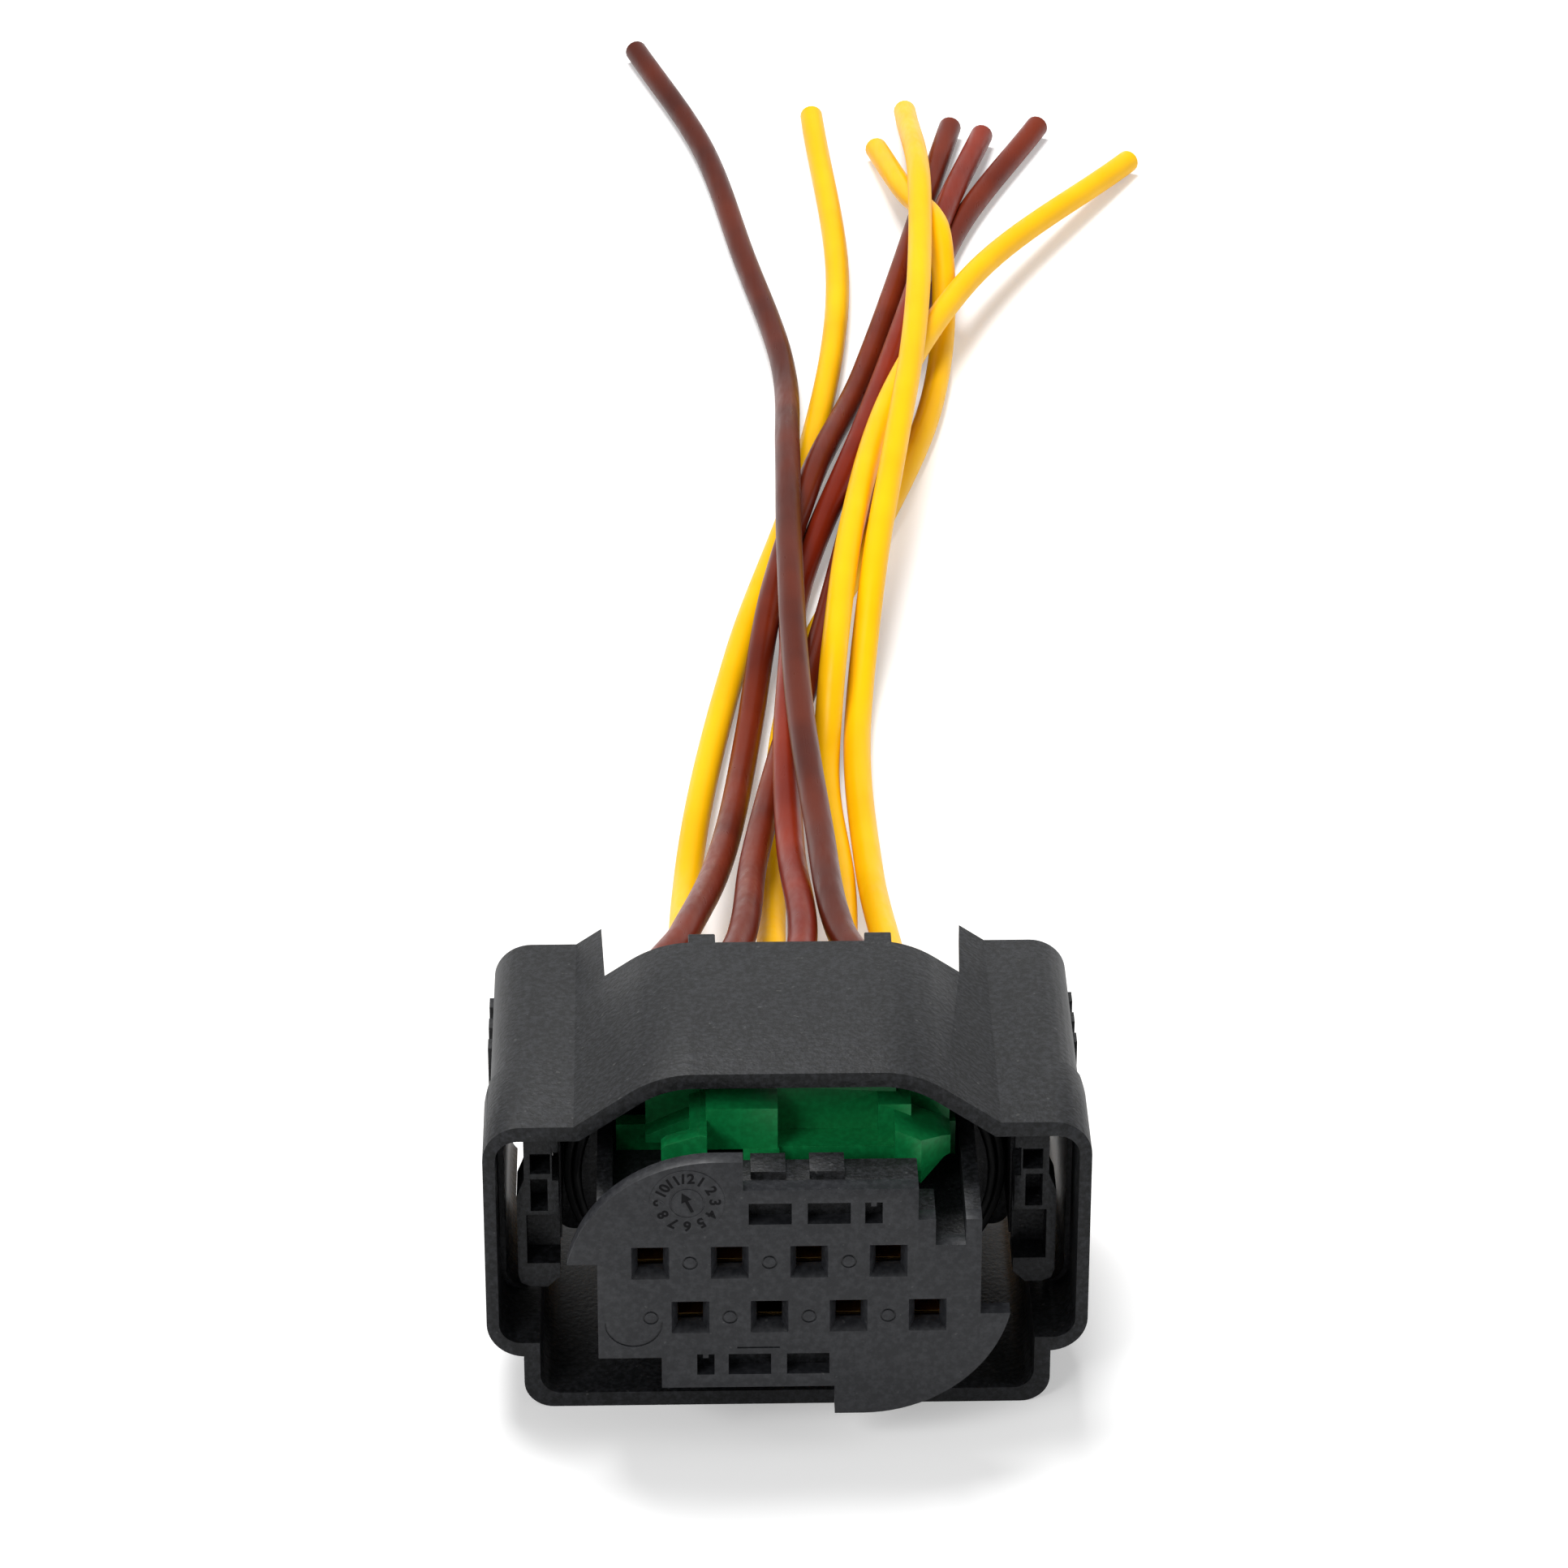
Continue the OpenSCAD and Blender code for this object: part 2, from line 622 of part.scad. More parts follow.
// A ring of soft lips round the sealing neck
module interface_seal() {
    lip = 1.2;
    base = 0.6;
    color(rubber) difference() {
        union() {
            along_y(neck_y0 + 0.2, neck_y1) on_axis() oval(neck_w + 2 * base, neck_h + 2 * base);
            for (i = [0:2])
                along_y(neck_y0 + 0.5 + 1.6 * i, neck_y0 + 1.3 + 1.6 * i) on_axis()
                    oval(neck_w + 2 * lip, neck_h + 2 * lip);
        }
        along_y(neck_y0, neck_y1 + 1) on_axis() oval(neck_w, neck_h);
    }
}

// A block of soft seal with a bore for each wire and three lips outside
module wire_seal() {
    y0 = pocket_y0 + 0.2;
    y1 = cover_y0;
    color(rubber) difference() {
        union() {
            along_y(y0, y1) on_axis() oval(bore_w - 0.8, bore_h - 0.8);
            for (i = [0:2]) along_y(y0 + 0.4 + 1.8 * i, y0 + 1.2 + 1.8 * i) on_axis() oval(bore_w, bore_h);
        }
        for (c = CAVITIES)
            translate([c[0], y1 + 1, c[1]]) rotate([90, 0, 0]) cylinder(h = seal_pocket + 2, d = wire_d);
    }
}

// The cover that closes the hood: a plate with eight holes, a rim and two snap arms
module rear_cover() {
    h = hood_h + 0.8;
    plate = 1.6;
    hole_d = wire_d + 0.6;
    color(black) difference() {
        union() {
            along_y(cover_y0, cover_y1) on_axis() oval(hood_w, h);
            for (x = CLIP_X) cover_clip(x);
        }
        along_y(cover_y0 + plate, cover_y1 + eps) on_axis() oval(bore_w, h - 2 * hood_wall);
        for (c = CAVITIES)
            translate([c[0], cover_y1, c[1]]) rotate([90, 0, 0]) cylinder(h = 2 * cover_len, d = hole_d);
    }
}

// A snap arm over the top of the hood, with a window for the hood's nub
module cover_clip(x) {
    z0 = axis_z + hood_h / 2 + 0.05;
    difference() {
        block(x - clip_w / 2, x + clip_w / 2, clip_y0, cover_y1, z0, z0 + clip_t);
        block(x - 0.6, x + 0.6, clip_y0 + 0.6, clip_y0 + 2, z0 - eps, z0 + 2);
    }
}

// A tube of flat-sided rings along a list of points, each ring square to the route
function unit(v) = v / norm(v);
function heading(p, i) = unit(p[min(i + 1, len(p) - 1)] - p[max(i - 1, 0)]);
function ring(p, i, d) =
    let (t = heading(p, i), side = unit(cross(t, [0, 0, 1])), up = cross(side, t))
    [for (k = [0:wire_sides - 1])
        let (a = (k + 0.5) * 360 / wire_sides) p[i] + d / 2 * (cos(a) * side + sin(a) * up)];

module tube(p, d) {
    n = wire_sides;
    last = (len(p) - 1) * n;
    polyhedron(
        points = [for (i = [0:len(p) - 1]) each ring(p, i, d)],
        faces = concat(
            [[for (k = [0:n - 1]) k]],
            [[for (k = [0:n - 1]) last + n - 1 - k]],
            [for (i = [0:len(p) - 2], k = [0:n - 1])
                let (a = i * n, m = (k + 1) % n) [a + k, a + n + k, a + n + m, a + m]]
        )
    );
}

module wire(i) {
    c = CAVITIES[i - 1];
    start = [[c[0], grip_y1, c[1]], [c[0], wire_exit_y, c[1]]];
    color(i <= 4 ? brown : yellow) tube(concat(start, wire_paths[i - 1]), wire_d);
}

housing();
terminal_carrier();
mirror([1, 0, 0]) latch_arm();  // left_latch
latch_arm();  // right_latch
front_cap();
interface_seal();
wire_seal();
rear_cover();
secondary_lock();
lock_sleeve();
terminal(1);  // terminal_1
terminal(2);  // terminal_2
terminal(3);  // terminal_3
terminal(4);  // terminal_4
terminal(5);  // terminal_5
terminal(6);  // terminal_6
terminal(7);  // terminal_7
terminal(8);  // terminal_8
wire(1);  // wire_1
wire(2);  // wire_2
wire(3);  // wire_3
wire(4);  // wire_4
wire(5);  // wire_5
wire(6);  // wire_6
wire(7);  // wire_7
wire(8);  // wire_8
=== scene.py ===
"""Looks of a sealed automotive plug with a loose tail of eight wires.

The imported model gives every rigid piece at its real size. This file lays the free wires along
their routes, softens the edges of the moulded pieces, adds the small moulded detail, and gives
each piece the finish of the material that it is made of.
"""
from __future__ import annotations

import logging
import math
from dataclasses import dataclass
from enum import Enum
import bmesh
import bpy
from mathutils import Matrix, Vector


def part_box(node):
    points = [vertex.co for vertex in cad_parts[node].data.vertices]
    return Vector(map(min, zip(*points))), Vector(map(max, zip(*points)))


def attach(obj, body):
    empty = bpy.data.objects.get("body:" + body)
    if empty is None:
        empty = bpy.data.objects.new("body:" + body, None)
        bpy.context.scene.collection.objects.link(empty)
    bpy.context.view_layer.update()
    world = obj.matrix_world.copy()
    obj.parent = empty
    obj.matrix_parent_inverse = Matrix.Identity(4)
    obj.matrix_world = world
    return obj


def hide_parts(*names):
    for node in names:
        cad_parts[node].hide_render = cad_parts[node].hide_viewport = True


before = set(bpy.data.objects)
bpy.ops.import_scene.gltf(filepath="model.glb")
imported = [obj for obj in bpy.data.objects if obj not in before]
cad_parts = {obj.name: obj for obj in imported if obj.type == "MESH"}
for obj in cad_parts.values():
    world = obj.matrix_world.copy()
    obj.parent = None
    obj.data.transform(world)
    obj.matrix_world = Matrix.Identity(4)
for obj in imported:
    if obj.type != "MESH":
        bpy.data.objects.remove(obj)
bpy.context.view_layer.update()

MM = 0.001
LOG = logging.getLogger("plug")

Band = tuple[float, float]
GRAIN_BAND: Band = (0.4, 0.7)       # noise values over which a grain turns from dark to pale
SPECK_BAND: Band = (0.72, 0.78)     # noise values over which a speck of dust appears
GLOSS_BAND: Band = (0.3, 0.7)       # noise values over which gloss swings from end to end
PATCH_BAND: Band = (0.35, 0.7)      # noise values over which a jacket turns deeper


class Body(Enum):
    """The bodies that pieces ride on."""

    PLUG = "plug"
    SLEEVE = "sleeve"
    LOCK = "lock"


class Slot(Enum):
    """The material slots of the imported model."""

    BLACK = "black_plastic"
    GREY = "grey_plastic"
    GREEN = "green_plastic"
    SEAL = "seal_rubber"
    METAL = "terminal_metal"
    BROWN = "brown_jacket"
    YELLOW = "yellow_jacket"


# ---------------------------------------------------------------- colours and shader nodes


def linear(hex_code: str) -> tuple[float, float, float, float]:
    """Turns an sRGB hex colour into linear values.

    Args:
        hex_code: A colour such as "1c1d1f".

    Returns:
        Red, green, blue and alpha, linear.
    """
    values = [int(hex_code[i:i + 2], 16) / 255 for i in (0, 2, 4)]
    red, green, blue = (v / 12.92 if v <= 0.04045 else ((v + 0.055) / 1.055) ** 2.4 for v in values)
    return (red, green, blue, 1.0)


def add_node(
    tree: bpy.types.NodeTree,
    kind: str,
    inputs: dict[str | int, object] | None = None,
    **settings: object,
) -> bpy.types.Node:
    """Adds one shader node with its settings, values and links.

    Args:
        tree: The node tree that takes the node.
        kind: The node's type, such as "ShaderNodeTexNoise".
        inputs: Socket name or number to a value, or to an output socket that is linked to it.
        **settings: Properties of the node itself.

    Returns:
        The new node.
    """
    node = tree.nodes.new(kind)
    for name, value in settings.items():
        setattr(node, name, value)
    for name, value in (inputs or {}).items():
        if isinstance(value, bpy.types.NodeSocket):
            tree.links.new(value, node.inputs[name])
        else:
            node.inputs[name].default_value = value
    return node


def new_material(name: str) -> tuple[bpy.types.Material, bpy.types.NodeTree]:
    """Makes an empty node material.

    Args:
        name: The finish's name.

    Returns:
        The material and its cleared node tree.
    """
    material = bpy.data.materials.new(name)
    material.use_nodes = True
    material.node_tree.nodes.clear()
    return material, material.node_tree


def per_metre(size_mm: float) -> float:
    """Returns the texture scale at which a pattern repeats every size_mm."""
    return 1 / (size_mm * MM)


def object_place(tree: bpy.types.NodeTree) -> bpy.types.NodeSocket:
    """Adds the object's own coordinates, in metres."""
    return add_node(tree, "ShaderNodeTexCoord").outputs["Object"]


def noise(
    tree: bpy.types.NodeTree,
    where: bpy.types.NodeSocket,
    size_mm: float,
    detail: float,
    roughness: float = 0.5,
) -> bpy.types.NodeSocket:
    """Adds a random pattern.

    Args:
        tree: The node tree that takes it.
        where: The coordinates that it follows.
        size_mm: Width of one blotch.
        detail: Number of finer layers.
        roughness: Strength of the finer layers.

    Returns:
        The pattern's value, from 0 to 1.
    """
    return add_node(tree, "ShaderNodeTexNoise", {
        "Vector": where, "Scale": per_metre(size_mm), "Detail": detail,
        "Roughness": roughness}).outputs["Fac"]


def spread(
    tree: bpy.types.NodeTree,
    value: bpy.types.NodeSocket,
    band: Band,
    low: float = 0.0,
    high: float = 1.0,
) -> bpy.types.NodeSocket:
    """Adds a node that stretches a band of a pattern's values over low to high."""
    return add_node(tree, "ShaderNodeMapRange", {
        "Value": value, "From Min": band[0], "From Max": band[1],
        "To Min": low, "To Max": high}).outputs[0]


def blend(
    tree: bpy.types.NodeTree, share: bpy.types.NodeSocket, first: object, second: object
) -> bpy.types.NodeSocket:
    """Adds a mix of two colours, where a share of 1 gives the second."""
    return add_node(tree, "ShaderNodeMix", {
        0: share, 6: first, 7: second}, data_type="RGBA").outputs[2]


def relief(
    tree: bpy.types.NodeTree, height: bpy.types.NodeSocket, depth_mm: float
) -> bpy.types.NodeSocket:
    """Adds a bump that lifts a pattern by depth_mm."""
    return add_node(tree, "ShaderNodeBump", {
        "Height": height, "Strength": 1.0, "Distance": depth_mm * MM}).outputs[0]


def seen_ray(tree: bpy.types.NodeTree) -> bpy.types.NodeSocket:
    """Adds a value that is 1 for rays seen directly, in a reflection or through a clear piece."""
    path = add_node(tree, "ShaderNodeLightPath")
    mirrored = add_node(tree, "ShaderNodeMath", {
        0: path.outputs["Is Camera Ray"], 1: path.outputs["Is Glossy Ray"]}, operation="MAXIMUM")
    seen = add_node(tree, "ShaderNodeMath", {
        0: mirrored.outputs[0], 1: path.outputs["Is Transmission Ray"]}, operation="MAXIMUM")
    return seen.outputs[0]


@dataclass(frozen=True)
class MouldedPlastic:
    """An engineering plastic moulded in a steel tool, such as glass-filled polyester.

    The tool's eroded skin gives the part a fine random grain, the plastic's flow leaves slow
    changes of gloss, and a little pale dust lies on it.

    Attributes:
        name: The finish's name.
        colour: The plastic's colour.
        worn_colour: The colour of the paler grains.
        grain_mm: Width of one grain of the tool's eroded skin.
        grain_depth_mm: Height of that grain.
        roughness: The finish's mean roughness.
        shine: Strength of the surface reflection, 0.5 for plain plastic.
        dust: Share by which a speck of dust covers the plastic.
        dust_colour: The colour of settled dust.
        speck_mm: Width of a speck.
        flow_mm: Width of the slow changes of gloss.
        gloss_swing: How far the roughness strays from its mean.
    """

    name: str
    colour: str
    worn_colour: str
    grain_mm: float
    grain_depth_mm: float
    roughness: float = 0.5
    shine: float = 0.5
    dust: float = 0.0
    dust_colour: str = "8a8a88"
    speck_mm: float = 0.4
    flow_mm: float = 6.0
    gloss_swing: float = 0.04

    def build(self) -> bpy.types.Material:
        """Builds the material.

        Returns:
            The finished material.
        """
        material, tree = new_material(self.name)
        where = object_place(tree)
        grain = noise(tree, where, self.grain_mm, detail=2.0, roughness=0.55)
        flow = noise(tree, where, self.flow_mm, detail=2.0)
        specks = noise(tree, where, self.speck_mm, detail=1.0)
        skin = blend(tree, spread(tree, grain, GRAIN_BAND),
                     linear(self.colour), linear(self.worn_colour))
        dusty = blend(tree, spread(tree, specks, SPECK_BAND, high=self.dust),
                      skin, linear(self.dust_colour))
        gloss = spread(tree, flow, GLOSS_BAND,
                       self.roughness - self.gloss_swing, self.roughness + self.gloss_swing)
        shader = add_node(tree, "ShaderNodeBsdfPrincipled", {
            "Base Color": dusty, "Roughness": gloss, "IOR": 1.5,
            "Specular IOR Level": self.shine,
            "Normal": relief(tree, grain, self.grain_depth_mm)})
        add_node(tree, "ShaderNodeOutputMaterial", {"Surface": shader.outputs[0]})
        return material


@dataclass(frozen=True)
class WireJacket:
    """Extruded PVC insulation.

    It is smooth and half dull, with faint streaks drawn along it by the die and slow patches of
    deeper colour.

    Attributes:
        name: The finish's name.
        colour: The jacket's colour.
        deep_colour: The colour of the slow darker patches.
        roughness: The jacket's mean roughness.
        shine: Strength of the surface reflection, 0.5 for plain plastic.
        patch_mm: Length of the slow patches of shade.
        streak_mm: Width of the streaks.
        streak_depth_mm: Height of the streaks.
        stretch: Width of a streak over its length along the plug's axis.
    """

    name: str
    colour: str
    deep_colour: str
    roughness: float = 0.32
    shine: float = 0.05
    patch_mm: float = 9.0
    streak_mm: float = 0.5
    streak_depth_mm: float = 0.006
    stretch: float = 0.06

    def build(self) -> bpy.types.Material:
        """Builds the material.

        Returns:
            The finished material.
        """
        material, tree = new_material(self.name)
        where = object_place(tree)
        drawn = add_node(tree, "ShaderNodeMapping", {
            "Vector": where, "Scale": (1.0, self.stretch, 1.0)}).outputs[0]
        streaks = noise(tree, drawn, self.streak_mm, detail=2.0)
        patches = noise(tree, where, self.patch_mm, detail=2.0)
        colour = blend(tree, spread(tree, patches, PATCH_BAND),
                       linear(self.colour), linear(self.deep_colour))
        gloss = spread(tree, streaks, GLOSS_BAND, self.roughness - 0.05, self.roughness + 0.07)
        shader = add_node(tree, "ShaderNodeBsdfPrincipled", {
            "Base Color": colour, "Roughness": gloss, "IOR": 1.5,
            "Specular IOR Level": self.shine,
            "Normal": relief(tree, streaks, self.streak_depth_mm)})
        add_node(tree, "ShaderNodeOutputMaterial", {"Surface": shader.outputs[0]})
        return material


@dataclass(frozen=True)
class PlatedStamping:
    """Copper alloy stamped from strip and plated.

    The plating is bright, with fine rolling lines along the strip.

    Attributes:
        name: The finish's name.
        colour: The plating's colour.
        tarnish: The colour of the duller patches.
        roughness: The plating's mean roughness.
        line_mm: Spacing of the rolling lines.
        line_depth_mm: Height of the rolling lines.
        stretch: Width of a rolling line over its length.
        patch_mm: Width of the duller patches.
    """

    name: str
    colour: str
    tarnish: str
    roughness: float = 0.28
    line_mm: float = 0.12
    line_depth_mm: float = 0.003
    stretch: float = 0.05
    patch_mm: float = 1.5

    def build(self) -> bpy.types.Material:
        """Builds the material.

        Returns:
            The finished material.
        """
        material, tree = new_material(self.name)
        where = object_place(tree)
        along = add_node(tree, "ShaderNodeMapping", {
            "Vector": where, "Scale": (1.0, self.stretch, 1.0)}).outputs[0]
        lines = noise(tree, along, self.line_mm, detail=1.0)
        patches = noise(tree, where, self.patch_mm, detail=3.0)
        shader = add_node(tree, "ShaderNodeBsdfPrincipled", {
            "Base Color": blend(tree, patches, linear(self.colour), linear(self.tarnish)),
            "Metallic": 1.0, "Roughness": self.roughness,
            "Normal": relief(tree, lines, self.line_depth_mm)})
        add_node(tree, "ShaderNodeOutputMaterial", {"Surface": shader.outputs[0]})
        return material


@dataclass(frozen=True)
class MouldedSilicone:
    """Liquid silicone rubber from a polished tool: soft, oily and half dull.

    Attributes:
        name: The finish's name.
        colour: The rubber's colour.
        bloom: The colour of the oily film on it.
        roughness: The rubber's mean roughness.
        shine: Strength of the surface reflection, 0.5 for plain plastic.
        film_mm: Width of the film's patches.
        film_depth_mm: Height of the film.
    """

    name: str
    colour: str
    bloom: str
    roughness: float = 0.42
    shine: float = 0.15
    film_mm: float = 2.0
    film_depth_mm: float = 0.01

    def build(self) -> bpy.types.Material:
        """Builds the material.

        Returns:
            The finished material.
        """
        material, tree = new_material(self.name)
        film = noise(tree, object_place(tree), self.film_mm, detail=3.0)
        shader = add_node(tree, "ShaderNodeBsdfPrincipled", {
            "Base Color": blend(tree, film, linear(self.colour), linear(self.bloom)),
            "Roughness": self.roughness, "IOR": 1.41, "Specular IOR Level": self.shine,
            "Normal": relief(tree, film, self.film_depth_mm)})
        add_node(tree, "ShaderNodeOutputMaterial", {"Surface": shader.outputs[0]})
        return material


# ---------------------------------------------------------------- stage, light and camera


@dataclass(frozen=True)
class SoftLight:
    """One square soft light.

    Attributes:
        name: The light's name.
        place: Where it hangs, in metres.
        size: Its edge length in metres.
        power: Its power in watts.
    """

    name: str
    place: tuple[float, float, float]
    size: float
    power: float


@dataclass
class Studio:
    """A white table in soft light, with the camera in front of the plug and above it.

    Attributes:
        camera_place: The camera's place, in metres.
        camera_pitch: How far the camera looks down, in degrees.
        camera_yaw: How far the camera turns left, in degrees.
        focal_length: The lens, in millimetres.
        sensor_width: The sensor, in millimetres.
        floor_half: Half the table's edge length, in metres.
        lights: The soft lights.
        aim: The point that each light looks at, in metres.
        room_strength: Strength of the room's even light.
        table_shade: The table top's own grey, 1 for white.
        table_glow: What the table top adds to what it reflects, where it is seen.
    """

    camera_place: tuple[float, float, float] = (-0.00713, -0.34022, 0.2288)
    camera_pitch: float = 29.0
    camera_yaw: float = -1.2
    focal_length: float = 141.4
    sensor_width: float = 36.0
    floor_half: float = 2.5
    lights: tuple[SoftLight, ...] = (
        SoftLight("key", (-0.12, 0.36, 0.95), 0.4, 10.0),
        SoftLight("front_left", (-0.5, -0.62, 0.6), 0.4, 4.5),
        SoftLight("right", (0.8, -0.2, 0.5), 0.5, 2.5),
    )
    aim: tuple[float, float, float] = (0, 0.03, 0.01)
    room_strength: float = 0.22
    table_shade: float = 0.8
    table_glow: float = 0.3

    def place_camera(self) -> None:
        """Makes the scene's camera."""
        data = bpy.data.cameras.new("camera")
        data.lens = self.focal_length
        data.sensor_width = self.sensor_width
        camera = bpy.data.objects.new("camera", data)
        camera.location = self.camera_place
        camera.rotation_euler = (
            math.radians(90 - self.camera_pitch), 0, math.radians(self.camera_yaw))
        bpy.context.collection.objects.link(camera)
        bpy.context.scene.camera = camera

    def hang(self, soft_light: SoftLight) -> None:
        """Makes one soft light and turns it to the plug.

        Args:
            soft_light: The light to make.
        """
        data = bpy.data.lights.new(soft_light.name, "AREA")
        data.size = soft_light.size
        data.energy = soft_light.power
        light = bpy.data.objects.new(soft_light.name, data)
        light.location = soft_light.place
        way = Vector(self.aim) - Vector(soft_light.place)
        light.rotation_euler = way.to_track_quat("-Z", "Y").to_euler()
        bpy.context.collection.objects.link(light)

    def light(self) -> None:
        """Hangs the lights and fills the room with even pale light."""
        for soft_light in self.lights:
            self.hang(soft_light)
        world = bpy.data.worlds.new("room")
        bpy.context.scene.world = world
        world.use_nodes = True
        tree = world.node_tree
        tree.nodes.clear()
        room = add_node(tree, "ShaderNodeBackground", {
            "Color": (1, 1, 1, 1), "Strength": self.room_strength})
        white = add_node(tree, "ShaderNodeBackground", {"Color": (1, 1, 1, 1), "Strength": 1.0})
        mix = add_node(tree, "ShaderNodeMixShader", {
            0: seen_ray(tree), 1: room.outputs[0], 2: white.outputs[0]})
        add_node(tree, "ShaderNodeOutputWorld", {"Surface": mix.outputs[0]})

    def lay_floor(self) -> None:
        """Lays the white table top under the plug."""
        mesh = bpy.data.meshes.new("table_top")
        half = self.floor_half
        corners = [(-half, -half, 0), (half, -half, 0), (half, half, 0), (-half, half, 0)]
        mesh.from_pydata(corners, [], [(0, 1, 2, 3)])
        floor = bpy.data.objects.new("table_top", mesh)
        bpy.context.collection.objects.link(floor)
        material, tree = new_material("white_table")
        shade = self.table_shade
        paper = add_node(tree, "ShaderNodeBsdfDiffuse", {"Color": (shade, shade, shade, 1)})
        glow = add_node(tree, "ShaderNodeEmission", {
            "Color": (1, 1, 1, 1), "Strength": self.table_glow})
        lit = add_node(tree, "ShaderNodeAddShader", {0: paper.outputs[0], 1: glow.outputs[0]})
        mix = add_node(tree, "ShaderNodeMixShader", {
            0: seen_ray(tree), 1: paper.outputs[0], 2: lit.outputs[0]})
        add_node(tree, "ShaderNodeOutputMaterial", {"Surface": mix.outputs[0]})
        floor.data.materials.append(material)


# ---------------------------------------------------------------- mesh helpers

WELD_MM = 0.002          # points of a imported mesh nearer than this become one
FLAT_DEGREES = 1.0       # faces that turn by less than this are joined into one


def link(piece: bpy.types.Object) -> bpy.types.Object:
    """Puts a piece into the scene and returns it."""
    bpy.context.collection.objects.link(piece)
    return piece


def seat(piece: bpy.types.Object, body: Body, material: bpy.types.Material) -> None:
    """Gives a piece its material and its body.

    Args:
        piece: The piece.
        body: The body that it moves with.
        material: Its finish.
    """
    piece.data.materials.clear()
    piece.data.materials.append(material)
    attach(piece, body.value)


def softened_copy(
    node: str, edge_mm: float, segments: int = 2, angle: float = 32.0
) -> bpy.types.Object:
    """Copies a node's mesh with its sharp edges rounded as a mould rounds them.

    Args:
        node: The node to copy.
        edge_mm: Radius of the rounded edges.
        segments: Faces across each rounded edge.
        angle: Edges that turn by more than this, in degrees, are rounded.

    Returns:
        The new piece, which replaces the node.
    """
    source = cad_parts[node]
    mesh = bpy.data.meshes.new(f"{node}_moulded")
    work = bmesh.new()
    work.from_mesh(source.data)
    work.transform(source.matrix_world)
    bmesh.ops.remove_doubles(work, verts=work.verts, dist=WELD_MM * MM)
    bmesh.ops.dissolve_limit(
        work, angle_limit=math.radians(FLAT_DEGREES), verts=work.verts, edges=work.edges)
    for face in work.faces:
        face.smooth = True
    work.to_mesh(mesh)
    work.free()
    piece = link(bpy.data.objects.new(f"{node}_moulded", mesh))
    bevel = piece.modifiers.new("rounded_edges", "BEVEL")
    bevel.width = edge_mm * MM
    bevel.segments = segments
    bevel.limit_method = "ANGLE"
    bevel.angle_limit = math.radians(angle)
    bevel.use_clamp_overlap = True
    bevel.harden_normals = True
    bevel.miter_outer = "MITER_ARC"
    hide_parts(node)
    return piece


# ---------------------------------------------------------------- wires


@dataclass(frozen=True)
class Wire:
    """One wire: where its cavity is and the points that it passes, in millimetres."""

    number: int
    path: tuple[tuple[float, float, float], ...]

    @property
    def top_row(self) -> bool:
        """Says whether the wire comes from the top row of cavities."""
        return self.number <= 4


